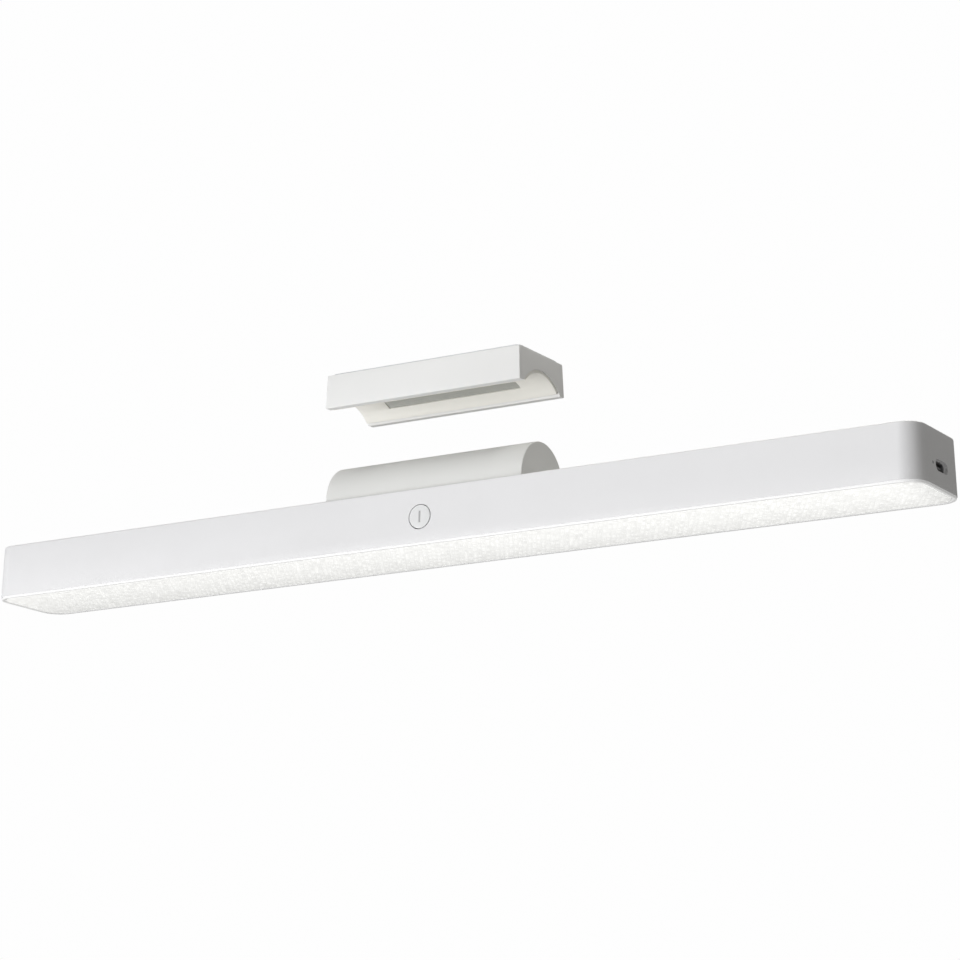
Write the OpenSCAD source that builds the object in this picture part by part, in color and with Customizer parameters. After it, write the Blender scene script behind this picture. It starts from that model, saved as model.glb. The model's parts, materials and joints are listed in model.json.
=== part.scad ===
// Rechargeable light bar that hangs from a magnetic cradle stuck under a shelf.
// Origin: centre of the cradle's upper adhesive face. +X runs towards the charging
// port, +Y towards the back and +Z up. Millimetres. The bar is drawn pulled clear of
// its cradle.

/* [Light bar] */
// Length of the bar at its lower edge
bar_l = 387.5; // [380:0.5:400]
// Depth of the bar at its lower edge, front to back
bar_d = 38.1; // [37.5:0.1:39]
// Height of the housing, from the lens rim to its top
housing_h = 20.1; // [19.8:0.1:21]
// Height of the translucent rim below the housing
lip_h = 0.8; // [0.6:0.1:0.9]
// Radius of the upright corners
corner_r = 8; // [7.6:0.1:9]
// Draft of the moulded walls, in degrees
draft = 2; // [1.5:0.1:2.2]
// Thickness of the housing's walls
wall = 1.6; // [1.4:0.1:1.7]
// Thickness of the housing's top
top_t = 1.8; // [1.5:0.1:2]

/* [Round hump] */
// Radius of the round hump on top of the bar
hump_r = 15; // [14.9:0.05:15.1]
// Length of the hump along the bar
hump_l = 83; // [82.5:0.5:84]
// Height of the hump's axis above the lens
axis_h = 21.6; // [21.4:0.1:21.8]

/* [Cradle] */
// Height of the cradle without its adhesive pad
base_h = 12.6; // [12.4:0.1:13]
// Depth of the cradle at its lower edge
base_d = 32; // [31.6:0.1:32.4]
// Thickness of the adhesive pad
pad_t = 0.8; // [0.5:0.1:1]
// Radius of the round hollow in the cradle's shell
hollow_r = 16.6; // [16.5:0.05:16.8]
// Depth of the hollow above the cradle's lower edge
hollow_depth = 6.5; // [6.3:0.1:6.6]
// Clear distance from the cradle down to the top of the hump
hang_gap = 20; // [15:1:40]

/* [Button] */
// Place of the push button's centre along the bar
button_x = 1.5; // [0:0.5:3]
// Height of the button's centre above the lens
button_h = 10.3; // [10.2:0.1:10.5]
// Radius of the button cap
button_r = 4.3; // [4.2:0.05:4.4]
// Gap between the cap and its hole
button_gap = 0.3; // [0.25:0.05:0.4]

/* [Charging port] */
// Place of the port's centre, front to back
port_y = 0.5; // [-0.5:0.1:1]
// Height of the port's centre above the lens
port_h = 8.4; // [8.3:0.1:8.6]
// Depth of the recess round the port, in the end wall's face
port_recess = 1.2; // [1:0.05:1.25]

/* [Battery] */
// Radius of the round cell
cell_r = 9.2; // [9.1:0.05:9.3]
// Length of the round cell
cell_l = 65; // [64:0.5:65.5]

/* [Hidden] */

$fn = 64;
eps = 0.05;                 // overrun of a cut, and the slack round a screw

// heights of the cradle, in the part's frame
base_top = -pad_t;
base_bottom = base_top - base_h;
hollow_z = base_bottom + hollow_depth - hollow_r;
base_half_l = hump_l / 2;
base_half_d = base_d / 2;

// adhesive pad, cover and magnets, as half lengths and half depths
pad_half = [40, 14];
pad_corner = 2;
cover_half = [38, 13];
cover_t = 1.2;
cover_fit = 0.1;
pocket_half = [33, 9.6];
magnet_t = 3;
magnet_fit = 0.1;
base_screw_l = 7.35;

// height of the lens face in the part's frame; the bar is drawn above it
lens_z = base_bottom - hang_gap - hump_r - axis_h;
housing_top = lip_h + housing_h;
ceiling = housing_top - top_t;

// radii of what lines the cradle's hollow
liner_outer_r = hollow_r - eps;
liner_inner_r = hump_r + 0.4;
strip_outer_r = hollow_r - 0.1;
strip_inner_r = hump_r + 0.55;
strip_half_l = 28;
strip_angle = 27;
keeper_half_l = 27.7;
keeper_angle = 31;
liner_inset = 0.5;

// the flat stack behind the lens, from the lens upwards
lens_top = 2;
sheet_z = lens_top + 0.05;
sheet_t = 0.3;
guide_z = sheet_z + sheet_t + 0.05;
guide_t = 2.6;
reflector_z = guide_z + guide_t + 0.05;
reflector_t = 0.25;
plate_z = reflector_z + reflector_t + 1;
plate_t = 0.8;
guide_half_l = 188;
guide_half_d = 15.1;
plate_half_l = 182;
plate_half_d = 15.3;
strip_board_half_l = 178;
strip_board_y = 16.2;
strip_board_t = 0.8;
strip_board_h = 3.5;
led_pitch = 12;
led_t = 0.8;

// where the plate, the boards and the hump are screwed down
plate_posts = [for (x = [-150, -55, 55, 150], y = [-9, 9]) [x, y]];
hump_posts = [for (x = [-1, 1], y = [-1, 1]) [x * 37.2, y * 9.5]];
charge_posts = [for (y = [-1, 1]) [170, port_y + y * 6]];
control_posts = [button_x - 11, button_x + 12.5];
base_posts = [for (x = [-1, 1], y = [-1, 1]) [x * 35.6, y * 11]];
control_post_h = 15.5;
hump_opening = [35, 11.6];

// boards
board_t = 1.2;
control_y = -13.2;
control_half_l = 16;
control_x = button_x + 0.5;
control_z = [7.6, 18.4];
charge_z = port_h + 1.7;
charge_x = [163, 190.6];
charge_half_d = 9.5;
charge_t = 1;

// push button, measured inwards from the front wall's face
cap_proud = 0.1;
cap_depth = 2.45;
plunger_depth = 3.9;
mark_w = 0.6;
mark_l = 4.2;
switch_face = -15.4;
switch_half = 2.3;

// charging receptacle
port_w = 8.94;
port_t = 3.26;
port_wall = 0.3;
port_l = 7.35;
port_fit = 0.15;
tongue_half_w = 3.35;
tongue_half_t = 0.35;
tongue_back = 0.5;
cut_w = 10.2;
cut_t = 4;
port_face_x = bar_l / 2 - (port_h - lip_h) * tan(draft);
port_front = port_face_x - port_recess - 0.1;
pipe_y = -7;
pipe_r = 0.5;
pipe_x = 187.5;

WHITE = [0.93, 0.94, 0.94];
CREAM = [0.9, 0.89, 0.85];
STEEL = [0.6, 0.61, 0.62];
BOARD = [0.16, 0.36, 0.24];
DARK = [0.12, 0.12, 0.13];
CLEAR = [0.95, 0.97, 1, 0.7];

// how far a drafted wall has moved inwards at height z
function lean(z) = (z - lip_h) * tan(draft);

// moves its children from the lens frame to where the bar hangs
module bar() {
    translate([0, 0, lens_z]) children();
}

// moves its children to the button, with local +Z pointing out of the front wall
module at_button() {
    translate([button_x, lean(button_h) - bar_d / 2, lens_z + button_h])
        rotate([90 - draft, 0, 0]) children();
}

// puts its children's local +Z along +X
module along_x(x, y, z) {
    translate([x, y, z]) rotate([0, 90, 0]) children();
}

module box(x, y, z) {
    translate([x[0], y[0], z[0]]) cube([x[1] - x[0], y[1] - y[0], z[1] - z[0]]);
}

// the bar's outline, moved in by i, between two heights, with drafted sides
module drafted(i, z0, z1) {
    cx = bar_l / 2 - corner_r;
    cy = bar_d / 2 - corner_r;
    r0 = corner_r - i - lean(z0);
    r1 = corner_r - i - lean(z1);
    for (x = [-cx, cx], y = [-cy, cy])
        translate([x, y, z0]) cylinder(h = z1 - z0, r1 = r0, r2 = r1);
    rotate([90, 0, 90]) linear_extrude(height = 2 * cx, center = true)
        polygon([[-cy - r0, z0], [cy + r0, z0], [cy + r1, z1], [-cy - r1, z1]]);
    rotate([90, 0, 0]) linear_extrude(height = 2 * cy, center = true)
        polygon([[-cx - r0, z0], [cx + r0, z0], [cx + r1, z1], [-cx - r1, z1]]);
}

// the same outline, moved in by i, with upright sides
module upright(i, z0, z1) {
    cx = bar_l / 2 - corner_r;
    cy = bar_d / 2 - corner_r;
    r = corner_r - i;
    translate([0, 0, z0]) linear_extrude(height = z1 - z0) {
        for (x = [-cx, cx], y = [-cy, cy]) translate([x, y]) circle(r = r);
        square([2 * cx, 2 * (cy + r)], center = true);
        square([2 * (cx + r), 2 * cy], center = true);
    }
}

// the cradle's outer block: sharp corners, sides leaning in towards the top
module cradle_block() {
    g = base_h * tan(draft);
    intersection() {
        rotate([90, 0, 90]) linear_extrude(height = 2 * base_half_l, center = true)
            polygon([[-base_half_d, base_bottom], [base_half_d, base_bottom],
                [base_half_d - g, base_top], [g - base_half_d, base_top]]);
        rotate([90, 0, 0]) linear_extrude(height = base_d, center = true)
            polygon([[-base_half_l, base_bottom], [base_half_l, base_bottom],
                [base_half_l - g, base_top], [g - base_half_l, base_top]]);
    }
}

// an arched strip in the cradle's hollow, between two radii and within an angle
module arch(half_l, r_in, r_out, angle) {
    translate([0, 0, hollow_z]) rotate([90, 0, 90]) rotate([0, 0, 90 - angle])
        translate([0, 0, -half_l]) linear_extrude(height = 2 * half_l)
            difference() {
                intersection() {
                    circle(r = r_out);
                    polygon([[0, 0], [40, 0], 40 * [1, tan(angle)],
                        40 * [cos(2 * angle), sin(2 * angle)]]);
                }
                circle(r = r_in);
            }
}

// a rounded slot outline, w wide and t high
module slot_outline(w, t) {
    for (s = [-1, 1]) translate([0, s * (w - t) / 2]) circle(d = t, $fn = 32);
    square([t, w - t], center = true);
}

// a pan-head screw whose head lies below z = 0 and whose shank points up
module screw(r, l, head_r, head_t) {
    cylinder(h = l, r = r, $fn = 24);
    translate([0, 0, -head_t]) difference() {
        cylinder(h = head_t, r = head_r, $fn = 32);
        for (a = [0, 90]) rotate([0, 0, a]) translate([0, 0, head_t * 0.25])
            cube([head_r * 1.1, head_r * 0.25, head_t * 0.7], center = true);
    }
}

// a wire through a list of points
module wire(points, r) {
    for (i = [0:len(points) - 2]) {
        d = points[i + 1] - points[i];
        translate(points[i])
            rotate([0, acos(d[2] / norm(d)), atan2(d[1], d[0])])
                cylinder(h = norm(d), r = r, $fn = 24);
    }
    for (i = [1:1:len(points) - 2]) translate(points[i]) sphere(r = r, $fn = 24);
}

// ---------------------------------------------------------------- cradle

module adhesive_pad() {
    inner = pad_half - [pad_corner, pad_corner];
    color("gainsboro") translate([0, 0, -pad_t]) linear_extrude(height = pad_t) {
        square(2 * [inner[0], pad_half[1]], center = true);
        square(2 * [pad_half[0], inner[1]], center = true);
        for (x = [-1, 1], y = [-1, 1])
            translate([x * inner[0], y * inner[1]]) circle(r = pad_corner);
    }
}

module base_shell() {
    seat = cover_half + [cover_fit, cover_fit];
    pocket_bottom = base_top - cover_t - magnet_t - 2 * magnet_fit;
    color(WHITE) difference() {
        cradle_block();
        translate([0, 0, hollow_z]) rotate([0, 90, 0])
            cylinder(h = hump_l + 2, r = hollow_r, center = true, $fn = 128);
        // seat for the cover, and the magnets' pocket below it
        box([-seat[0], seat[0]], [-seat[1], seat[1]], [base_top - cover_t, base_top + 1]);
        box([-pocket_half[0], pocket_half[0]], [-pocket_half[1], pocket_half[1]],
            [pocket_bottom, base_top]);
        for (p = base_posts) translate([p[0], p[1], base_top - base_screw_l - 0.25])
            cylinder(h = base_screw_l, r = 0.9 + eps, $fn = 24);
    }
}

module base_cover() {
    color(WHITE) difference() {
        box([-cover_half[0], cover_half[0]], [-cover_half[1], cover_half[1]],
            [base_top - cover_t, base_top]);
        for (p = base_posts) translate([p[0], p[1], base_top - cover_t]) {
            translate([0, 0, -eps]) cylinder(h = cover_t + 2 * eps, r = 1, $fn = 24);
            translate([0, 0, cover_t - 0.95])
                cylinder(h = 1, r1 = 1, r2 = 2, $fn = 32);
        }
    }
}

module base_screws() {
    head_t = 0.95;
    color(STEEL) for (p = base_posts)
        translate([p[0], p[1], base_top - base_screw_l - eps]) difference() {
            union() {
                cylinder(h = base_screw_l, r = 0.9, $fn = 24);
                translate([0, 0, base_screw_l - head_t])
                    cylinder(h = head_t, r1 = 0.9, r2 = 1.9, $fn = 32);
            }
            translate([0, 0, base_screw_l - 0.15]) for (a = [0, 90]) rotate([0, 0, a])
                cube([2.2, 0.5, 0.6], center = true);
        }
}

module base_magnets() {
    color("silver") for (x = [-24, -8, 8, 24])
        translate([x, 0, base_top - cover_t - magnet_fit - magnet_t / 2])
            cube([15, 18, magnet_t], center = true);
}

module cradle_liner() {
    lip_angle = acos((base_bottom + 0.4 - hollow_z) / liner_inner_r);
    color(CREAM) difference() {
        arch(base_half_l - liner_inset, liner_inner_r, liner_outer_r, lip_angle);
        // window for the steel strip
        arch(strip_half_l + 0.3, liner_inner_r - 1, liner_outer_r + 1, strip_angle + 1);
    }
}

module steel_strip() {
    color(STEEL) arch(strip_half_l, strip_inner_r, strip_outer_r, strip_angle);
}

// ---------------------------------------------------------------- battery

module battery_cell() {
    nub = 0.8;
    color("mediumseagreen") bar() along_x(-cell_l / 2, 0, axis_h) {
        cylinder(h = cell_l - nub, r = cell_r);
        translate([0, 0, cell_l - nub]) cylinder(h = nub, r = 2.8, $fn = 32);
    }
}

module battery_holder() {
    inner_r = cell_r + 0.4;
    outer_r = inner_r + 1.2;
    half_l = cell_l / 2 + 1.1;
    color(DARK) bar() {
        difference() {
            along_x(-half_l - 1, 0, axis_h) cylinder(h = 2 * half_l + 2, r = outer_r);
            along_x(-half_l, 0, axis_h) cylinder(h = 2 * half_l, r = inner_r);
            box([-40, 40], [-12, 12], [axis_h, axis_h + 12]);
        }
        // two feet that stand on the back plate
        for (x = [-24, 18]) difference() {
            box([x, x + 6], [-6, 6], [plate_z + plate_t, axis_h - inner_r + 1]);
            along_x(x - 1, 0, axis_h) cylinder(h = 8, r = inner_r + 0.6);
        }
    }
}

module battery_contacts() {
    color("silver") bar() for (s = [-1, 1]) {
        end = s * (cell_l / 2 + 0.95);
        along_x(end - 0.15, 0, axis_h - 1) cylinder(h = 0.3, r = 5, $fn = 32);
        along_x(end - 0.15 - s * 0.3, 0, axis_h - 1) cylinder(h = 0.3, r = 2, $fn = 32);
    }
}

// ---------------------------------------------------------------- housing

module lamp_housing() {
    color(WHITE) difference() {
        union() {
            difference() {
                bar() drafted(0, lip_h, housing_top);
                bar() drafted(wall, lip_h - 1, ceiling);
            }
            bar() for (p = plate_posts) translate([p[0], p[1], plate_z + plate_t])
                cylinder(h = ceiling - plate_z - plate_t + 0.5, r = 2.4, $fn = 32);
            bar() for (p = charge_posts) translate([p[0], p[1], charge_z + charge_t])
                cylinder(h = ceiling - charge_z - charge_t + 0.5, r = 2.2, $fn = 32);
            bar() for (x = control_posts) translate([x, control_y, control_post_h])
                rotate([90, 0, 0]) cylinder(h = 4.3, r = 2, $fn = 32);
        }
        // opening under the hump for the battery
        bar() box([-hump_opening[0], hump_opening[0]], [-hump_opening[1], hump_opening[1]],
            [ceiling - 1, housing_top + 1]);
        // screw holes
        bar() for (p = plate_posts) translate([p[0], p[1], plate_z])
            cylinder(h = 7, r = 0.9 + eps, $fn = 24);
        bar() for (p = charge_posts) translate([p[0], p[1], charge_z])
            cylinder(h = 6, r = 0.8 + eps, $fn = 24);
        bar() for (x = control_posts) translate([x, control_y + 1, control_post_h])
            rotate([90, 0, 0]) cylinder(h = 4.3, r = 0.8 + eps, $fn = 24);
        bar() for (p = hump_posts) translate([p[0], p[1], ceiling - 1])
            cylinder(h = 4, r = 1.1, $fn = 24);
        // button hole, recess and hole for the charging port, and indicator hole
        at_button() translate([0, 0, -wall - 1])
            cylinder(h = wall + 2, r = button_r + button_gap);
        bar() along_x(port_face_x - port_recess, port_y, port_h)
            linear_extrude(height = 3) slot_outline(cut_w, cut_t);
        bar() along_x(bar_l / 2 - 4, port_y, port_h) linear_extrude(height = 6)
            slot_outline(port_w + 2 * port_fit, port_t + 2 * port_fit);
        bar() along_x(bar_l / 2 - 4, pipe_y, port_h)
            cylinder(h = 6, r = pipe_r + eps, $fn = 32);
    }
}

module hump_cover() {
    inner_r = hump_r - wall;
    rise = axis_h - housing_top;
    color(WHITE) bar() difference() {
        union() {
            difference() {
                half_round(hump_l / 2, hump_r, rise);
                half_round(hump_l / 2 - wall, inner_r, rise + 1);
            }
            for (p = hump_posts) {
                translate([p[0], p[1], housing_top]) cylinder(h = 7, r = 1.9, $fn = 32);
                // rib that ties the screw post to the end wall
                translate([p[0] + sign(p[0]) * 1.6, p[1], housing_top + 3.5])
                    cube([3.2, 1.2, 7], center = true);
            }
        }
        for (p = hump_posts) translate([p[0], p[1], housing_top - 1])
            cylinder(h = 6.5, r = 0.9 + eps, $fn = 24);
    }
}

// half a cylinder along X, with straight sides below its axis
module half_round(half_l, r, drop) {
    intersection() {
        along_x(-half_l, 0, axis_h) cylinder(h = 2 * half_l, r = r, $fn = 128);
        box([-half_l, half_l], [-r, r], [axis_h, axis_h + r]);
    }
    box([-half_l, half_l], [-r, r], [axis_h - drop, axis_h]);
}

module hump_screws() {
    color(STEEL) bar() for (p = hump_posts) translate([p[0], p[1], ceiling])
        screw(0.9, 6, 1.7, 0.8);
}

module keeper_plate() {
    outer_r = hump_r - wall - 0.1;
    color(STEEL) bar() translate([0, 0, axis_h - hollow_z])
        arch(keeper_half_l, outer_r - 0.9, outer_r, keeper_angle);
}

// ---------------------------------------------------------------- light stack

module prismatic_lens() {
    color(CLEAR) bar() {
        upright(2.2, 0.1, 1.2);
        upright(1.8, 1.2, lens_top);
    }
}

module lens_rim() {
    color(CLEAR) bar() difference() {
        upright(0.3, 0, lip_h);
        upright(1.5, -1, lip_h + 1);
    }
}

module diffuser_sheet() {
    color("white") bar() upright(2, sheet_z, sheet_z + sheet_t);
}

module light_guide() {
    color(CLEAR) bar() box([-guide_half_l, guide_half_l], [-guide_half_d, guide_half_d],
        [guide_z, guide_z + guide_t]);
}

module reflector_sheet() {
    color("white") bar() box([-guide_half_l, guide_half_l],
        [-guide_half_d, guide_half_d], [reflector_z, reflector_z + reflector_t]);
}

module back_plate() {
    color("silver") bar() difference() {
        box([-plate_half_l, plate_half_l], [-plate_half_d, plate_half_d],
            [plate_z, plate_z + plate_t]);
        for (p = plate_posts) translate([p[0], p[1], plate_z - 1])
            cylinder(h = 3, r = 1.2, $fn = 24);
    }
}

module back_plate_screws() {
    color(STEEL) bar() for (p = plate_posts) translate([p[0], p[1], plate_z])
        screw(0.9, 6, 1.9, 0.8);
}

module led_strips() {
    middle = strip_board_y + strip_board_t / 2;
    color("white") bar() for (s = [-1, 1])
        translate([0, s * middle, guide_z + strip_board_h / 2])
            cube([2 * strip_board_half_l, strip_board_t, strip_board_h], center = true);
}

module leds() {
    count = floor((strip_board_half_l - 4) / led_pitch);
    color("khaki") bar() for (i = [-count:count], s = [-1, 1])
        translate([i * led_pitch, s * (strip_board_y - led_t / 2), guide_z + guide_t / 2])
            cube([4, led_t, 1.6], center = true);
}

// ---------------------------------------------------------------- electronics

module control_board() {
    color(BOARD) bar() difference() {
        box([control_x - control_half_l, control_x + control_half_l],
            [control_y, control_y + board_t], control_z);
        for (x = control_posts) translate([x, control_y + 2, control_post_h])
            rotate([90, 0, 0]) cylinder(h = 3, r = 1, $fn = 24);
    }
}

module control_parts() {
    y = control_y + board_t;
    color(DARK) bar() {
        box([control_x - 4, control_x + 1], [y, y + 1], [8.4, 12.4]);
        box([control_x + 4, control_x + 7], [y, y + 0.9], [9, 12]);
        for (x = [-13, -10.5, -8, 10, 12.5])
            box([control_x + x, control_x + x + 1.6], [y, y + 0.6], [9, 9.8]);
    }
}

module control_board_screws() {
    color(STEEL) bar() for (x = control_posts)
        translate([x, control_y + board_t, control_post_h]) rotate([90, 0, 0])
            screw(0.8, 4, 1.7, 0.7);
}

module tact_switch() {
    color(DARK) bar() difference() {
        box([button_x - switch_half, button_x + switch_half], [switch_face, control_y],
            [button_h - switch_half, button_h + switch_half]);
        translate([button_x, switch_face + 1.4, button_h]) rotate([90, 0, 0])
            cylinder(h = 2, r = 1.45, $fn = 32);
    }
}

module charge_board() {
    color(BOARD) bar() difference() {
        box(charge_x, [port_y - charge_half_d, port_y + charge_half_d],
            [charge_z, charge_z + charge_t]);
        for (p = charge_posts) translate([p[0], p[1], charge_z - 1])
            cylinder(h = 3, r = 1, $fn = 24);
    }
}

module charge_parts() {
    z = charge_z + charge_t;
    color(DARK) bar() translate([0, port_y, 0]) {
        box([175, 180], [-2.5, 2.5], [z, z + 3]);
        box([183, 187], [3, 7], [z, z + 1]);
        for (x = [182.5, 187]) translate([x, -4.5, z]) cylinder(h = 4.5, r = 1.8);
        for (y = [-1, 0.8, 2.6]) box([172.6, 173.6], [y, y + 0.8], [z, z + 0.6]);
    }
}

module charge_board_screws() {
    color(STEEL) bar() for (p = charge_posts) translate([p[0], p[1], charge_z])
        screw(0.8, 5, 1.6, 0.7);
}

module usb_c_shell() {
    color("silver") bar() along_x(port_front - port_l, port_y, port_h) difference() {
        linear_extrude(height = port_l) slot_outline(port_w, port_t);
        translate([0, 0, 0.8]) linear_extrude(height = port_l)
            slot_outline(port_w - 2 * port_wall, port_t - 2 * port_wall);
    }
}

module usb_c_tongue() {
    color(DARK) bar() box([port_front - port_l + 0.8, port_front - tongue_back],
        [port_y - tongue_half_w, port_y + tongue_half_w],
        [port_h - tongue_half_t, port_h + tongue_half_t]);
}

module indicator_pipe() {
    color(CLEAR) bar() along_x(pipe_x, pipe_y, port_h)
        cylinder(h = port_face_x - pipe_x, r = pipe_r, $fn = 32);
}

module indicator_led() {
    color("khaki") bar() box([pipe_x - 1.3, pipe_x - 0.1], [pipe_y - 0.8, pipe_y + 0.8],
        [port_h - 0.8, charge_z]);
}

// ---------------------------------------------------------------- wires

module battery_leads() {
    end = cell_l / 2 + 2.75;
    color("firebrick") bar() {
        wire([[-end, -3, 13], [-end, -12.6, 13], [control_x - 16.1, -12.6, 13]], 0.6);
        wire([[end, -3, 14.6], [end, -12.6, 14.6], [control_x + 16.1, -12.6, 14.6]], 0.6);
    }
}

module led_leads() {
    left = control_x - 16.1;
    color("white") bar() {
        wire([[left, -12.6, 9], [-22, -12.6, 9], [-22, -16.4, 9], [-22, -16.4, 5.95]],
            0.45);
        wire([[left, -12.6, 11], [-45, -12.6, 11], [-45, 16.3, 11], [-45, 16.3, 5.95]],
            0.45);
    }
}

module charge_leads() {
    start = charge_x[0] - 0.7;
    right = control_x + 16.1;
    color("black") bar() for (i = [0, 1]) {
        turn = 158 - 2 * i;
        y = -2 - 2 * i;
        z = charge_z + 0.5 + 1.8 * i;
        wire([[start, y, z], [turn, y, z], [turn, -12.7, z], [right, -12.7, z]], 0.6);
    }
}

// ---------------------------------------------------------------- button

module button_cap() {
    chamfer = 0.2;
    color(WHITE) at_button() difference() {
        union() {
            translate([0, 0, -cap_depth])
                cylinder(h = cap_depth + cap_proud - chamfer, r = button_r);
            translate([0, 0, cap_proud - chamfer])
                cylinder(h = chamfer, r1 = button_r, r2 = button_r - chamfer);
            translate([-5.8, -1.5, -cap_depth]) cube([11.6, 3, 0.7]);
        }
        // groove for the mark
        translate([0, 0, cap_proud - 0.3 + 0.5])
            cube([mark_w + 0.1, mark_l + 0.1, 1], center = true);
    }
}

module button_mark() {
    color(STEEL) at_button() translate([0, 0, cap_proud - 0.155])
        cube([mark_w, mark_l, 0.27], center = true);
}

module button_plunger() {
    color(DARK) at_button() translate([0, 0, -plunger_depth])
        cylinder(h = plunger_depth - cap_depth, r = 1.1, $fn = 32);
}

adhesive_pad();
base_cover();
base_screws();
base_magnets();
base_shell();
cradle_liner();
steel_strip();
battery_cell();
lamp_housing();
hump_cover();
hump_screws();
keeper_plate();
battery_holder();
battery_contacts();
back_plate();
back_plate_screws();
reflector_sheet();
light_guide();
diffuser_sheet();
prismatic_lens();
lens_rim();
led_strips();
leds();
control_board();
control_parts();
control_board_screws();
tact_switch();
charge_board();
charge_parts();
charge_board_screws();
usb_c_shell();
usb_c_tongue();
indicator_pipe();
indicator_led();
battery_leads();
led_leads();
charge_leads();
button_cap();
button_mark();
button_plunger();
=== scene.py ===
"""Looks for the magnetic shelf light bar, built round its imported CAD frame."""
import json
import math

import bmesh
import bpy
from mathutils import Matrix, Vector

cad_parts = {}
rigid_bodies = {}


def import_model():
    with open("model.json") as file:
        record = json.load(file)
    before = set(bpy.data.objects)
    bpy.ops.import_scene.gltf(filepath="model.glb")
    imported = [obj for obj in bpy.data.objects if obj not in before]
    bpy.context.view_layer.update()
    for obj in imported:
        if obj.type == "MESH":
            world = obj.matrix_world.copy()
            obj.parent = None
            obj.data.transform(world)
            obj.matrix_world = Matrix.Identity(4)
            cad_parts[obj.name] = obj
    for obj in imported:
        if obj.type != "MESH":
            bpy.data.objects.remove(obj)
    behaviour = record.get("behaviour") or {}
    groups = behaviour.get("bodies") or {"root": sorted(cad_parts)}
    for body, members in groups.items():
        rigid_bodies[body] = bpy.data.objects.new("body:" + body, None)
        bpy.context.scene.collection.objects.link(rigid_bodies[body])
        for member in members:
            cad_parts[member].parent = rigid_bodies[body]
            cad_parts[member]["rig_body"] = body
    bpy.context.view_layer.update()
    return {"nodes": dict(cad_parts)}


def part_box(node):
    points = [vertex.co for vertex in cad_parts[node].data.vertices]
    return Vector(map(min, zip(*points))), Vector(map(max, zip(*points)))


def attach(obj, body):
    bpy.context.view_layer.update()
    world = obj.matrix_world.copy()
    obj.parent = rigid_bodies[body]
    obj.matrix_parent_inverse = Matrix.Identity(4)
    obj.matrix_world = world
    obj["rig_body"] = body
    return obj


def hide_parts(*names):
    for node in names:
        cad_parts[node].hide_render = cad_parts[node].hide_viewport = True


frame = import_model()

MM = 0.001
scene = bpy.context.scene
scene.view_settings.view_transform = "Standard"

# ---------------------------------------------------------------- camera

CAMERA_PLACE = (0.5702, -0.9229, -0.3066)
CAMERA_TURN = (103.70, -0.09, 30.99)
CAMERA_LENS = 115.06


def add_camera():
    data = bpy.data.cameras.new("camera")
    data.lens = CAMERA_LENS
    data.sensor_width = 36
    data.clip_start = 0.01
    camera = bpy.data.objects.new("camera", data)
    camera.location = CAMERA_PLACE
    camera.rotation_euler = [math.radians(a) for a in CAMERA_TURN]
    scene.collection.objects.link(camera)
    scene.camera = camera


add_camera()

# ---------------------------------------------------------------- sizes

# places and sizes come from the CAD boxes; the rest are the design's own radii
HOUSING_LOW, HOUSING_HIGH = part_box("lamp_housing")
RIM_LOW, RIM_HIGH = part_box("lens_rim")
LENS_LOW, LENS_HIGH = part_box("prismatic_lens")
HUMP_LOW, HUMP_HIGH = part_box("hump_cover")
CRADLE_LOW, CRADLE_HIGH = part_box("base_shell")
BUTTON_LOW, BUTTON_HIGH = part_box("button_mark")

HALF_L = HOUSING_HIGH.x
HALF_D = HOUSING_HIGH.y
CORNER_R = 8 * MM
DRAFT = math.tan(math.radians(2))
WALL = 1.6 * MM
ROOF = 1.8 * MM
LOWER_EDGE_R = 0.15 * MM
UPPER_EDGE_R = 0.7 * MM
HUMP_R = HUMP_HIGH.y
HUMP_HALF_L = HUMP_HIGH.x
HUMP_AXIS = HUMP_HIGH.z - HUMP_R
HOLLOW_R = 16.6 * MM
HOLLOW_Z = CRADLE_LOW.z + 6.5 * MM - HOLLOW_R


def lean(z):
    """How far the housing's drafted wall has moved in at height z."""
    return (z - HOUSING_LOW.z) * DRAFT


# ---------------------------------------------------------------- mesh helpers


def new_piece(name, bm, body, replaced=(), smooth=35):
    """Turns a bmesh into a piece that rides on a body."""
    bmesh.ops.recalc_face_normals(bm, faces=bm.faces)
    mesh = bpy.data.meshes.new(name)
    bm.to_mesh(mesh)
    bm.free()
    piece = bpy.data.objects.new(name, mesh)
    scene.collection.objects.link(piece)
    finish_shading(piece, smooth)
    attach(piece, body)
    if replaced:
        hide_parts(*replaced)
    return piece


def finish_shading(piece, angle):
    for polygon in piece.data.polygons:
        polygon.use_smooth = True
    piece.data.set_sharp_from_angle(angle=math.radians(angle))


def apply_modifier(piece, modifier):
    with bpy.context.temp_override(object=piece, active_object=piece):
        bpy.ops.object.modifier_apply(modifier=modifier.name)


def cut(piece, *cutters):
    """Subtracts scratch objects from a piece and removes them."""
    bpy.context.view_layer.update()
    for cutter in cutters:
        modifier = piece.modifiers.new("cut", "BOOLEAN")
        modifier.operation = "DIFFERENCE"
        modifier.solver = "EXACT"
        modifier.object = cutter
        apply_modifier(piece, modifier)
        mesh = cutter.data
        bpy.data.objects.remove(cutter)
        bpy.data.meshes.remove(mesh)


def scratch(bm, matrix=Matrix.Identity(4)):
    """A helper object that cut() uses up."""
    bmesh.ops.recalc_face_normals(bm, faces=bm.faces)
    mesh = bpy.data.meshes.new("scratch")
    bm.to_mesh(mesh)
    bm.free()
    tool = bpy.data.objects.new("scratch", mesh)
    tool.matrix_world = matrix
    scene.collection.objects.link(tool)
    return tool


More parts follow.
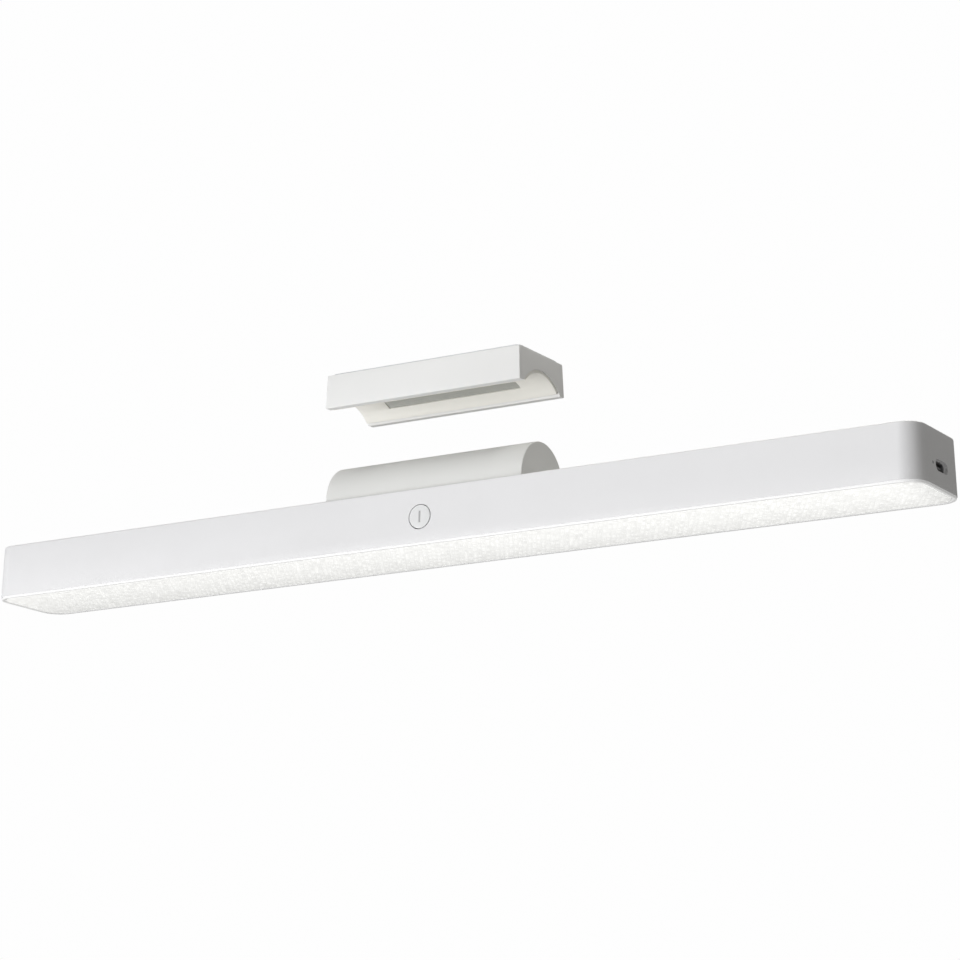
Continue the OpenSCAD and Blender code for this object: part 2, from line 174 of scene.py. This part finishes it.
def loft(rings, closed=False):
    """A bmesh skin through rings of points, with flat ends unless it closes on itself."""
    bm = bmesh.new()
    loops = [[bm.verts.new(p) for p in ring] for ring in rings]
    pairs = list(zip(loops, loops[1:]))
    if closed:
        pairs.append((loops[-1], loops[0]))
    for a, b in pairs:
        n = len(a)
        for i in range(n):
            bm.faces.new((a[i], a[(i + 1) % n], b[(i + 1) % n], b[i]))
    if not closed:
        bm.faces.new(loops[0])
        bm.faces.new(loops[-1])
    return bm


def block(low, high):
    bm = bmesh.new()
    bmesh.ops.create_cube(bm, size=1)
    size = Vector(high) - Vector(low)
    middle = (Vector(high) + Vector(low)) / 2
    bmesh.ops.transform(
        bm, matrix=Matrix.Translation(middle) @ Matrix.Diagonal((*size, 1)), verts=bm.verts
    )
    return bm


def turned(profile, segments=64):
    """A solid of revolution round Z from (radius, height) points, closed by flat ends."""
    rings = []
    for radius, height in profile:
        ring = []
        for i in range(segments):
            a = 2 * math.pi * i / segments
            ring.append((radius * math.cos(a), radius * math.sin(a), height))
        rings.append(ring)
    return loft(rings)


def outline(half_x, half_y, radius, steps=14):
    """A rounded rectangle, counter-clockwise, as (x, y) points."""
    points = []
    for k, (sx, sy) in enumerate(((1, 1), (-1, 1), (-1, -1), (1, -1))):
        cx = sx * (half_x - radius)
        cy = sy * (half_y - radius)
        for i in range(steps + 1):
            a = math.pi / 2 * (k + i / steps)
            points.append((cx + radius * math.cos(a), cy + radius * math.sin(a)))
    return points


def bar_ring(inset, z):
    """The housing's drafted outline, moved in by inset, at height z."""
    i = inset + lean(z)
    return [(x, y, z) for x, y in outline(HALF_L - i, HALF_D - i, CORNER_R - i)]


def quarter(radius, steps=4):
    """Points of a rounded edge, as (in, down) steps from the flat face to the wall."""
    for i in range(steps + 1):
        a = math.pi / 2 * i / steps
        yield radius * (1 - math.sin(a)), radius * (1 - math.cos(a))


# ---------------------------------------------------------------- materials


def new_material(name):
    material = bpy.data.materials.new(name)
    material.use_nodes = True
    nodes = material.node_tree.nodes
    return material, nodes, material.node_tree.links, nodes["Principled BSDF"]


def noise(nodes, links, scale, detail=2):
    """Noise in object space; scale is the grain size in metres."""
    place = nodes.new("ShaderNodeTexCoord")
    texture = nodes.new("ShaderNodeTexNoise")
    texture.inputs["Scale"].default_value = 1 / scale
    texture.inputs["Detail"].default_value = detail
    links.new(place.outputs["Object"], texture.inputs["Vector"])
    return texture


def blend_colours(nodes, links, factor, low, high, start=0.3, end=0.7):
    ramp = nodes.new("ShaderNodeValToRGB")
    ramp.color_ramp.elements[0].position = start
    ramp.color_ramp.elements[0].color = (*low, 1)
    ramp.color_ramp.elements[1].position = end
    ramp.color_ramp.elements[1].color = (*high, 1)
    links.new(factor, ramp.inputs["Fac"])
    return ramp.outputs["Color"]


def vary(nodes, links, factor, low, high):
    spread = nodes.new("ShaderNodeMapRange")
    spread.inputs["To Min"].default_value = low
    spread.inputs["To Max"].default_value = high
    links.new(factor, spread.inputs["Value"])
    return spread.outputs["Result"]


BUMP_DEPTH = 0.02 * MM


def add_bump(nodes, links, shader, height, strength):
    bump = nodes.new("ShaderNodeBump")
    bump.inputs["Strength"].default_value = strength
    bump.inputs["Distance"].default_value = BUMP_DEPTH
    links.new(height, bump.inputs["Height"])
    links.new(bump.outputs["Normal"], shader.inputs["Normal"])


def moulded(name, colour, roughness=0.42, grain=0.25 * MM, relief=0.1, patchy=0.02):
    """Moulded plastic: fine spark-eroded grain, slow drift of tone, uneven gloss."""
    material, nodes, links, shader = new_material(name)
    drift = noise(nodes, links, 30 * MM, 3)
    low = [c * (1 - patchy) for c in colour]
    links.new(blend_colours(nodes, links, drift.outputs["Fac"], low, colour),
        shader.inputs["Base Color"])
    wipe = noise(nodes, links, 6 * MM, 4)
    links.new(vary(nodes, links, wipe.outputs["Fac"], roughness - 0.06, roughness + 0.08),
        shader.inputs["Roughness"])
    fine = noise(nodes, links, grain, 2)
    add_bump(nodes, links, shader, fine.outputs["Fac"], relief)
    return material


STREAK_STRETCH = (1, 20, 20)
STREAK_RELIEF = 0.15


def metal(name, colour, roughness, metallic=1):
    """Drawn or rolled metal: fine streaks along X, uneven gloss."""
    material, nodes, links, shader = new_material(name)
    shader.inputs["Metallic"].default_value = metallic
    place = nodes.new("ShaderNodeTexCoord")
    squeeze = nodes.new("ShaderNodeMapping")
    squeeze.inputs["Scale"].default_value = STREAK_STRETCH
    streak = nodes.new("ShaderNodeTexNoise")
    streak.inputs["Scale"].default_value = 1 / (6 * MM)
    streak.inputs["Detail"].default_value = 4
    links.new(place.outputs["Object"], squeeze.inputs["Vector"])
    links.new(squeeze.outputs["Vector"], streak.inputs["Vector"])
    low = [c * 0.86 for c in colour]
    links.new(blend_colours(nodes, links, streak.outputs["Fac"], low, colour),
        shader.inputs["Base Color"])
    links.new(vary(nodes, links, streak.outputs["Fac"], roughness - 0.08, roughness + 0.1),
        shader.inputs["Roughness"])
    add_bump(nodes, links, shader, streak.outputs["Fac"], STREAK_RELIEF)
    return material


LIT_ROUGHNESS = 0.3
LIT_DIMMEST = 0.6


def lit(name, colour, glow, attribute):
    """Translucent plastic lit from inside; an attribute of the mesh says how brightly."""
    material, nodes, links, shader = new_material(name)
    shader.inputs["Roughness"].default_value = LIT_ROUGHNESS
    shader.inputs["Emission Strength"].default_value = glow
    source = nodes.new("ShaderNodeAttribute")
    source.attribute_name = attribute
    # a low attribute darkens the base colour as well as the glow; along the backs of the rim
    # and the lens this is painted shade
    low = [c * LIT_DIMMEST for c in colour]
    tone = blend_colours(nodes, links, source.outputs["Fac"], low, colour, 0.0, 1.0)
    links.new(tone, shader.inputs["Emission Color"])
    links.new(tone, shader.inputs["Base Color"])
    return material


WHITE = moulded("white_plastic", (0.845, 0.843, 0.855))
CRADLE_WHITE = moulded("cradle_plastic", (0.87, 0.87, 0.862))
LINING = moulded("soft_lining", (0.92, 0.905, 0.855), 0.6, 0.4 * MM, 0.2)
HUMP_WHITE = moulded("hump_plastic", (0.805, 0.807, 0.79))
BUTTON = moulded("button_plastic", (0.83, 0.835, 0.84), 0.38)
MARK = moulded("mark_grey", (0.45, 0.45, 0.46), 0.5)
FOAM = moulded("adhesive_foam", (0.72, 0.74, 0.76), 0.8, 0.5 * MM, 0.6, 0.08)
BLACK = moulded("black_plastic", (0.03, 0.03, 0.032), 0.5)
TONGUE = moulded("tongue_grey", (0.32, 0.32, 0.33), 0.5)
PIPE = moulded("smoked_acrylic", (0.3, 0.31, 0.32), 0.2, 2 * MM, 0.02)
STEEL = metal("strip_steel", (0.58, 0.585, 0.55), 0.55, metallic=0.35)
PLATED = metal("plated_steel", (0.62, 0.62, 0.63), 0.3)
# painted shade: the receptacle's steel is made dark so that the port's mouth reads as shadow
SHADED_STEEL = metal("receptacle_steel_painted_shade", (0.3, 0.3, 0.31), 0.4)
NICKEL = metal("nickel", (0.7, 0.69, 0.66), 0.25)
ALUMINIUM = metal("sheet_aluminium", (0.75, 0.76, 0.77), 0.35)
GOLD = metal("contact_gold", (0.75, 0.55, 0.2), 0.3)
BOARD = moulded("board_lacquer", (0.02, 0.12, 0.06), 0.35, 0.8 * MM, 0.1, 0.25)
WHITE_BOARD = moulded("white_lacquer", (0.8, 0.8, 0.78), 0.3)
FILM = moulded("white_film", (0.88, 0.88, 0.88), 0.3, 1 * MM, 0.05)
ACRYLIC = moulded("clear_acrylic", (0.75, 0.8, 0.82), 0.1, 2 * MM, 0.02)
PHOSPHOR = moulded("led_phosphor", (0.85, 0.7, 0.2), 0.4, 0.3 * MM, 0.2, 0.1)
WRAP = moulded("cell_wrap", (0.05, 0.3, 0.2), 0.3, 3 * MM, 0.05, 0.1)
JACKET = moulded("wire_jacket", (0.3, 0.03, 0.03), 0.45, 0.6 * MM, 0.1, 0.1)
# the rim's edge attribute paints shade along its back, dimming both glow and base colour
# there
RIM_GLOW = lit("rim_glow", (0.8, 0.8, 0.8), 0.275, "edge")
LENS_GLOW = lit("lens_glow", (0.95, 0.95, 0.935), 0.62, "cell")


def paint(piece, material):
    piece.data.materials.clear()
    piece.data.materials.append(material)


# ---------------------------------------------------------------- housing

BUTTON_H = (BUTTON_LOW.z + BUTTON_HIGH.z) / 2
BUTTON_X = (BUTTON_LOW.x + BUTTON_HIGH.x) / 2
BUTTON_R = 4.3 * MM
BUTTON_GAP = 0.3 * MM
BUTTON_FRAME = (
    Matrix.Translation((BUTTON_X, lean(BUTTON_H) - HALF_D, BUTTON_H))
    @ Matrix.Rotation(math.radians(88), 4, "X")
)
PORT_LOW, PORT_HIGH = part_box("usb_c_shell")
PORT_Y = (PORT_LOW.y + PORT_HIGH.y) / 2
PORT_H = (PORT_LOW.z + PORT_HIGH.z) / 2
PIPE_LOW, PIPE_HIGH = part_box("indicator_pipe")
PIPE_Y = (PIPE_LOW.y + PIPE_HIGH.y) / 2
PIPE_HOLE_R = 0.55 * MM
PORT_RECESS = 1.2 * MM
END_X = HALF_L - lean(PORT_H)


def stadium(half_w, half_t, x):
    """A slot's outline in the plane at x, round the charging port's axis."""
    # a little under half the thickness, so that no two points of the round ends meet
    radius = half_t * 0.98
    return [(x, PORT_Y + u, PORT_H + v) for u, v in outline(half_w, half_t, radius, 10)]


def slot_rings(*steps):
    """Rings of a slot; a step is its half width and half thickness in mm, and x in metres."""
    return [stadium(w * MM, t * MM, x) for w, t, x in steps]


def housing_shell():
    rings = [bar_ring(WALL, HOUSING_HIGH.z - ROOF), bar_ring(WALL, HOUSING_LOW.z)]
    for along, up in quarter(LOWER_EDGE_R, 2):
        rings.append(bar_ring(along, HOUSING_LOW.z + up))
    for along, down in reversed(list(quarter(UPPER_EDGE_R, 5))):
        rings.append(bar_ring(along, HOUSING_HIGH.z - down))
    piece = new_piece("housing_shell", loft(rings), "lamp",
        ["lamp_housing"])
    hole_r = BUTTON_R + BUTTON_GAP
    flare = 0.12 * MM
    button_hole = turned([(hole_r, -3 * MM), (hole_r, -flare), (hole_r + flare, 0),
        (hole_r + flare, 1 * MM)])
    slot = loft(slot_rings((4.62, 1.78, END_X - 4 * MM), (4.62, 1.78, END_X - PORT_RECESS),
        (5.1, 2, END_X - PORT_RECESS), (5.1, 2, END_X - 0.15 * MM),
        (5.2, 2.1, END_X), (5.2, 2.1, END_X + 1 * MM)))
    pipe_hole = turned([(PIPE_HOLE_R, -4 * MM), (PIPE_HOLE_R, 1 * MM)], 24)
    to_end = Matrix.Translation((END_X, PIPE_Y, PORT_H)) @ Matrix.Rotation(
        math.pi / 2, 4, "Y")
    # the opening under the hump
    half_x = 35 * MM
    half_y = 11.6 * MM
    opening = block((-half_x, -half_y, HOUSING_HIGH.z - 3 * MM),
        (half_x, half_y, HOUSING_HIGH.z + 1 * MM))
    cut(piece, scratch(button_hole, BUTTON_FRAME), scratch(slot),
        scratch(pipe_hole, to_end), scratch(opening))
    finish_shading(piece, 30)
    paint(piece, WHITE)


housing_shell()


# ---------------------------------------------------------------- hump


def hump_ring(x, inset, foot):
    """The hump's section at x: a half circle on short upright sides."""
    steps = 40
    r = HUMP_R - inset
    points = [(x, -r, foot)]
    for i in range(steps + 1):
        a = math.pi * (1 - i / steps)
        points.append((x, r * math.cos(a), HUMP_AXIS + r * math.sin(a)))
    points.append((x, r, foot))
    return points


def hump_shell():
    edge = list(quarter(0.4 * MM))
    rings = [hump_ring(-HUMP_HALF_L + back, along, HUMP_LOW.z) for along, back in edge]
    rings += [hump_ring(HUMP_HALF_L - back, along, HUMP_LOW.z) for along, back in edge[::-1]]
    piece = new_piece("hump_shell", loft(rings), "lamp", ["hump_cover"])
    inside = [hump_ring(s * (HUMP_HALF_L - WALL), WALL, HUMP_LOW.z - 1 * MM) for s in (-1, 1)]
    cut(piece, scratch(loft(inside)))
    finish_shading(piece, 30)
    paint(piece, HUMP_WHITE)


hump_shell()


# ---------------------------------------------------------------- cradle


def cradle_shell():
    corners = {}
    bm = bmesh.new()
    for z in (CRADLE_LOW.z, CRADLE_HIGH.z):
        g = (z - CRADLE_LOW.z) * DRAFT
        for sx, sy in ((1, 1), (-1, 1), (-1, -1), (1, -1)):
            corners[sx, sy, z] = bm.verts.new(
                (sx * (CRADLE_HIGH.x - g), sy * (CRADLE_HIGH.y - g), z))
    order = ((1, 1), (-1, 1), (-1, -1), (1, -1))
    for z in (CRADLE_LOW.z, CRADLE_HIGH.z):
        bm.faces.new([corners[sx, sy, z] for sx, sy in order])
    for a, b in zip(order, order[1:] + order[:1]):
        bm.faces.new([corners[*a, CRADLE_LOW.z], corners[*b, CRADLE_LOW.z],
            corners[*b, CRADLE_HIGH.z], corners[*a, CRADLE_HIGH.z]])
    bmesh.ops.recalc_face_normals(bm, faces=bm.faces)
    bmesh.ops.bevel(bm, geom=bm.edges[:], offset=0.35 * MM, segments=3, profile=0.5,
        affect="EDGES")
    piece = new_piece("cradle_shell", bm, "base", ["base_shell"])
    reach = CRADLE_HIGH.x + 1 * MM
    flare = 0.15 * MM
    end = CRADLE_HIGH.x
    profile = [(HOLLOW_R + flare + 1 * MM, -reach), (HOLLOW_R + flare, -end),
        (HOLLOW_R, -end + flare), (HOLLOW_R, end - flare), (HOLLOW_R + flare, end),
        (HOLLOW_R + flare + 1 * MM, reach)]
    hollow = scratch(turned(profile, 160),
        Matrix.Translation((0, 0, HOLLOW_Z)) @ Matrix.Rotation(math.pi / 2, 4, "Y"))
    cover_low, cover_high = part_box("base_cover")
    gap = 0.1 * MM
    seat = scratch(block((cover_low.x - gap, cover_low.y - gap, cover_low.z),
        (cover_high.x + gap, cover_high.y + gap, CRADLE_HIGH.z + 1 * MM)))
    magnet_low, magnet_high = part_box("base_magnets")
    pocket = scratch(block(magnet_low - Vector((gap, gap, gap)),
        magnet_high + Vector((gap, gap, 2 * MM))))
    cut(piece, hollow, seat, pocket)
    finish_shading(piece, 30)
    paint(piece, CRADLE_WHITE)


cradle_shell()


def softened(node, name, material, width):
    """A copy of a CAD node with its sharp edges rounded."""
    sharp_angle = math.radians(40)
    source = frame["nodes"][node]
    bm = bmesh.new()
    bm.from_mesh(source.data)
    bmesh.ops.remove_doubles(bm, verts=bm.verts, dist=0.001 * MM)
    bmesh.ops.dissolve_limit(bm, angle_limit=math.radians(0.5), verts=bm.verts,
        edges=bm.edges)
    sharp = [e for e in bm.edges
        if len(e.link_faces) == 2 and e.calc_face_angle(0) > sharp_angle]
    bmesh.ops.bevel(bm, geom=sharp, offset=width, segments=2, profile=0.5,
        affect="EDGES", clamp_overlap=True)
    piece = new_piece(name, bm, source["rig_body"], [node])
    paint(piece, material)


softened("cradle_liner", "cradle_lining", LINING, 0.12 * MM)
softened("steel_strip", "strip_plate", STEEL, 0.1 * MM)
softened("adhesive_pad", "pad_foam", FOAM, 0.15 * MM)

# ---------------------------------------------------------------- lens

CELL_PITCH = 1.9 * MM
CELL_DEPTH = 0.08 * MM
BAND_PITCH = 4.5 * MM
BAND_SLANT = math.tan(math.radians(30))

# how brightly the lens is lit, from 0 to 1, and what adds to it or takes from it
GLOW = 0.64
CELL_GLOW = 0.08
CELL_SCATTER = 0.42
# painted shade: the glow falls off towards the back edge, and the crowns keep part of it
BACK_PAINTED_SHADE = 0.5
CROWN_KEEPS = 0.4
BAND_GLOW = 0.02
RIGHT_GLOW = 0.12
TIP_START = 0.94
TIP_DIM = 0.35
SIDE_GLOW = 0.3


def edge_distance(x, y, half_x, half_y, radius):
    """How far a point lies inside a rounded rectangle, and the way out of it."""
    dx = abs(x) - (half_x - radius)
    dy = abs(y) - (half_y - radius)
    if dx > 0 and dy > 0:
        away = math.hypot(dx, dy)
        return radius - away, math.copysign(dx / away, x), math.copysign(dy / away, y)
    if dx > dy:
        return radius - dx, math.copysign(1, x), 0
    return radius - dy, 0, math.copysign(1, y)


def scatter(x, y):
    """A repeatable number from -1 to 1 for a place on the lens."""
    return 2 * (math.sin(12.9898 * x / MM + 78.233 * y / MM) * 43758.5453 % 1) - 1


def cell_glow(x, y, crown):
    """Brighter to the right and, as painted shade, dimmer towards the back; uneven from cell
    to cell, dim at the tip.
    """
    across = (y + HALF_D) / (2 * HALF_D)
    # painted shade towards the back edge
    back = across ** 2 * (1 - CROWN_KEEPS * crown)
    band = math.cos(2 * math.pi * (x + y * BAND_SLANT) / BAND_PITCH)
    cell = (CELL_GLOW + CELL_SCATTER * scatter(x, y)) * crown
    tip = max(0, x / HALF_L - TIP_START) / (1 - TIP_START)
    return (GLOW + cell - BACK_PAINTED_SHADE * back + BAND_GLOW * band
        + RIGHT_GLOW * x / HALF_L - TIP_DIM * tip)


def lens_panel():
    """The lens: its lower face is a honeycomb of shallow pyramids."""
    half_x = LENS_HIGH.x - 0.4 * MM
    half_y = LENS_HIGH.y - 0.4 * MM
    radius = CORNER_R - 2.2 * MM
    row_step = CELL_PITCH * math.sqrt(3) / 2
    reach = CELL_PITCH / math.sqrt(3)
    groove_z = LENS_LOW.z + CELL_DEPTH
    bm = bmesh.new()
    corners = {}
    crowns = set()
    rows = math.ceil(half_y / row_step)
    columns = math.ceil(half_x / CELL_PITCH)
    for row in range(-rows, rows + 1):
        cy = row * row_step
        for column in range(-columns, columns + 1):
            cx = column * CELL_PITCH + (CELL_PITCH / 2 if row % 2 else 0)
            if edge_distance(cx, cy, half_x, half_y, radius)[0] <= 0.15 * MM:
                continue
            crown = bm.verts.new((cx, cy, LENS_LOW.z))
            crowns.add(crown)
            ring = []
            for k in range(6):
                a = math.pi / 6 + k * math.pi / 3
                x, y = cx + reach * math.cos(a), cy + reach * math.sin(a)
                key = (round(x / MM, 2), round(y / MM, 2))
                if key not in corners:
                    corners[key] = bm.verts.new((x, y, groove_z))
                ring.append(corners[key])
            for k in range(6):
                bm.faces.new((crown, ring[(k + 1) % 6], ring[k]))
    border = [e for e in bm.edges if e.is_boundary]
    for v in {v for e in border for v in e.verts}:
        inside, out_x, out_y = edge_distance(v.co.x, v.co.y, half_x, half_y, radius)
        v.co.x += inside * out_x
        v.co.y += inside * out_y
    levels = {v: cell_glow(v.co.x, v.co.y, v in crowns) for v in bm.verts}
    raised = bmesh.ops.extrude_edge_only(bm, edges=border)["geom"]
    for v in raised:
        if isinstance(v, bmesh.types.BMVert):
            v.co.z = LENS_HIGH.z
    bmesh.ops.contextual_create(bm, geom=[e for e in bm.edges if e.is_boundary])
    bm.verts.index_update()
    levels = {v.index: level for v, level in levels.items()}
    piece = new_piece("lens_panel", bm, "lamp", ["prismatic_lens"], 5)
    glow = piece.data.attributes.new("cell", "FLOAT", "POINT")
    for vertex in piece.data.vertices:
        glow.data[vertex.index].value = levels.get(vertex.index, SIDE_GLOW)
    paint(piece, LENS_GLOW)


def lens_edge():
    """The bright rim round the lens, with rounded lower edges."""
    def ring(inset, z):
        edge = outline(HALF_L - inset, HALF_D - inset, CORNER_R - inset)
        return [(x, y, z) for x, y in edge]

    outer = 0.3 * MM
    inner = 1.5 * MM
    fillet = 0.2 * MM
    rings = [ring(inner, RIM_HIGH.z)]
    for along, up in reversed(list(quarter(fillet, 3))):
        rings.append(ring(inner - along, RIM_LOW.z + up))
    for along, up in quarter(fillet, 3):
        rings.append(ring(outer + along, RIM_LOW.z + up))
    rings.append(ring(outer, RIM_HIGH.z))
    piece = new_piece("lens_edge", loft(rings, closed=True), "lamp",
        ["lens_rim"])
    # painted shade: the inner edge glows less along the back, and its base colour darkens
    # with the glow
    glow = piece.data.attributes.new("edge", "FLOAT", "POINT")
    for vertex in piece.data.vertices:
        x, y = vertex.co.xy
        inner_side = edge_distance(x, y, HALF_L, HALF_D, CORNER_R)[0] > (outer + inner) / 2
        back_shade_ramp = max(0, (y - HALF_D + CORNER_R) / CORNER_R)
        glow.data[vertex.index].value = 1 - back_shade_ramp if inner_side else 1
    paint(piece, RIM_GLOW)


lens_panel()
lens_edge()

# ---------------------------------------------------------------- button


def button_disc():
    depth = 2.45 * MM
    proud = 0.1 * MM
    profile = [(BUTTON_R, -depth)]
    for along, down in reversed(list(quarter(0.15 * MM, 3))):
        profile.append((BUTTON_R - along, proud - down))
    bm = turned(profile, 96)
    bmesh.ops.transform(bm, matrix=BUTTON_FRAME, verts=bm.verts)
    piece = new_piece("button_disc", bm, "button", ["button_cap"])
    half_w = 0.35 * MM
    half_h = 2.15 * MM
    groove = scratch(block((-half_w, -half_h, -0.2 * MM), (half_w, half_h, 1 * MM)),
        BUTTON_FRAME)
    cut(piece, groove)
    finish_shading(piece, 30)
    paint(piece, BUTTON)


button_disc()
softened("button_mark", "button_tick", MARK, 0.03 * MM)

# ---------------------------------------------------------------- charging port


def port_shell():
    steps = [(4.47, 1.63, PORT_LOW.x), (4.47, 1.63, PORT_HIGH.x - 0.1 * MM),
        (4.37, 1.53, PORT_HIGH.x), (4.22, 1.38, PORT_HIGH.x),
        (4.17, 1.33, PORT_HIGH.x - 0.1 * MM), (4.17, 1.33, PORT_LOW.x + 0.8 * MM)]
    piece = new_piece("port_shell", loft(slot_rings(*steps)), "lamp",
        ["usb_c_shell"])
    paint(piece, SHADED_STEEL)


def port_tongue():
    low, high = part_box("usb_c_tongue")
    bm = block(low, high)
    bmesh.ops.bevel(bm, geom=bm.edges[:], offset=0.12 * MM, segments=2, profile=0.5,
        affect="EDGES")
    piece = new_piece("port_tongue", bm, "lamp", ["usb_c_tongue"])
    paint(piece, TONGUE)
    pads = bmesh.new()
    pad_size = Matrix.Diagonal((3 * MM, 0.28 * MM, 0.04 * MM, 1))
    pad_count = 12
    pad_pitch = 0.5 * MM
    for side in (-1, 1):
        for i in range(pad_count):
            y = PORT_Y + (i - (pad_count - 1) / 2) * pad_pitch
            z = PORT_H + side * 0.36 * MM
            pad = bmesh.ops.create_cube(pads, size=1)["verts"]
            place = Matrix.Translation((high.x - 2 * MM, y, z))
            bmesh.ops.transform(pads, verts=pad, matrix=place @ pad_size)
    contacts = new_piece("port_contacts", pads, "lamp")
    paint(contacts, GOLD)


port_shell()
port_tongue()

# ---------------------------------------------------------------- CAD nodes that stay

FINISHES = {
    "base_cover": CRADLE_WHITE, "base_screws": PLATED, "base_magnets": NICKEL,
    "battery_cell": WRAP, "hump_screws": PLATED, "keeper_plate": STEEL,
    "battery_holder": BLACK, "battery_contacts": NICKEL, "back_plate": ALUMINIUM,
    "back_plate_screws": PLATED, "reflector_sheet": FILM, "light_guide": ACRYLIC,
    "diffuser_sheet": FILM, "led_strips": WHITE_BOARD, "leds": PHOSPHOR,
    "control_board": BOARD, "control_parts": BLACK, "control_board_screws": PLATED,
    "tact_switch": BLACK, "charge_board": BOARD, "charge_parts": BLACK,
    "charge_board_screws": PLATED, "indicator_pipe": PIPE, "indicator_led": PHOSPHOR,
    "battery_leads": JACKET, "led_leads": JACKET, "charge_leads": JACKET,
    "button_plunger": BLACK, "button_cap": BUTTON, "button_mark": MARK,
    "lamp_housing": WHITE, "hump_cover": HUMP_WHITE, "base_shell": CRADLE_WHITE,
    "cradle_liner": LINING, "steel_strip": STEEL, "adhesive_pad": FOAM,
    "prismatic_lens": FILM, "lens_rim": RIM_GLOW, "usb_c_shell": SHADED_STEEL,
    "usb_c_tongue": TONGUE,
}
for node, finish in FINISHES.items():
    paint(frame["nodes"][node], finish)

# ---------------------------------------------------------------- studio


BACKDROP = 0.99
AMBIENT = 0.237
AMBIENT_TINT = (1, 0.99, 0.955)
FLOOR_Z = -2.6
FLOOR_SIZE = 4
AIM = Vector((0, 0, -0.04))
COOL = (0.985, 0.99, 1)
WARM = (1, 0.985, 0.94)


def seen_by_camera(tree, lighting, seen, output):
    """Shows one shader to the camera and lights the object with another."""
    path = tree.nodes.new("ShaderNodeLightPath")
    mix = tree.nodes.new("ShaderNodeMixShader")
    tree.links.new(path.outputs["Is Camera Ray"], mix.inputs["Fac"])
    tree.links.new(lighting, mix.inputs[1])
    tree.links.new(seen, mix.inputs[2])
    tree.links.new(mix.outputs["Shader"], tree.nodes[output].inputs["Surface"])


def floor_paint():
    """Pale matt paint that runs into the backdrop without an edge."""
    material, nodes, links, shader = new_material("floor_paint")
    shader.inputs["Roughness"].default_value = 0.9
    grain = noise(nodes, links, 30 * MM)
    links.new(blend_colours(nodes, links, grain.outputs["Fac"], (0.83, 0.83, 0.83),
        (0.86, 0.86, 0.86)), shader.inputs["Base Color"])
    seen = nodes.new("ShaderNodeEmission")
    seen.inputs["Strength"].default_value = BACKDROP
    seen_by_camera(material.node_tree, shader.outputs["BSDF"], seen.outputs["Emission"],
        "Material Output")
    return material


def floor():
    bm = bmesh.new()
    bmesh.ops.create_grid(bm, x_segments=1, y_segments=1, size=FLOOR_SIZE)
    mesh = bpy.data.meshes.new("floor")
    bm.to_mesh(mesh)
    bm.free()
    plane = bpy.data.objects.new("floor", mesh)
    plane.location.z = FLOOR_Z
    scene.collection.objects.link(plane)
    paint(plane, floor_paint())


def softbox(name, place, width, power, colour):
    """A square area light turned to the middle of the object."""
    data = bpy.data.lights.new(name, "AREA")
    data.size = width
    data.energy = power
    data.color = colour
    lamp = bpy.data.objects.new(name, data)
    lamp.location = place
    away = Vector(place) - AIM
    lamp.rotation_euler = away.to_track_quat("Z", "Y").to_euler()
    scene.collection.objects.link(lamp)


def studio_world():
    """White where the camera looks past the object, softer and tinted as a light."""
    world = bpy.data.worlds.new("studio")
    world.use_nodes = True
    nodes = world.node_tree.nodes
    base = nodes["Background"]
    base.inputs["Color"].default_value = (*AMBIENT_TINT, 1)
    base.inputs["Strength"].default_value = AMBIENT
    seen = nodes.new("ShaderNodeBackground")
    seen.inputs["Color"].default_value = (1, 1, 1, 1)
    seen.inputs["Strength"].default_value = BACKDROP
    seen_by_camera(world.node_tree, base.outputs["Background"],
        seen.outputs["Background"], "World Output")
    scene.world = world


floor()
studio_world()
softbox("key", (-2.4, -4.5, -1.4), 2.2, 146, COOL)
softbox("high", (-1.2, -3.1, 2.2), 2.0, 30, COOL)
softbox("left", (-3.6, -2.2, -0.2), 2.0, 12, COOL)
softbox("behind", (-0.6, 2.2, 3.2), 2.0, 72, WARM)
softbox("under", (-0.3, -0.8, -2.05), 1.2, 3, COOL)
softbox("near", (0.17, -0.05, 0.28), 0.1, 0.24, WARM)
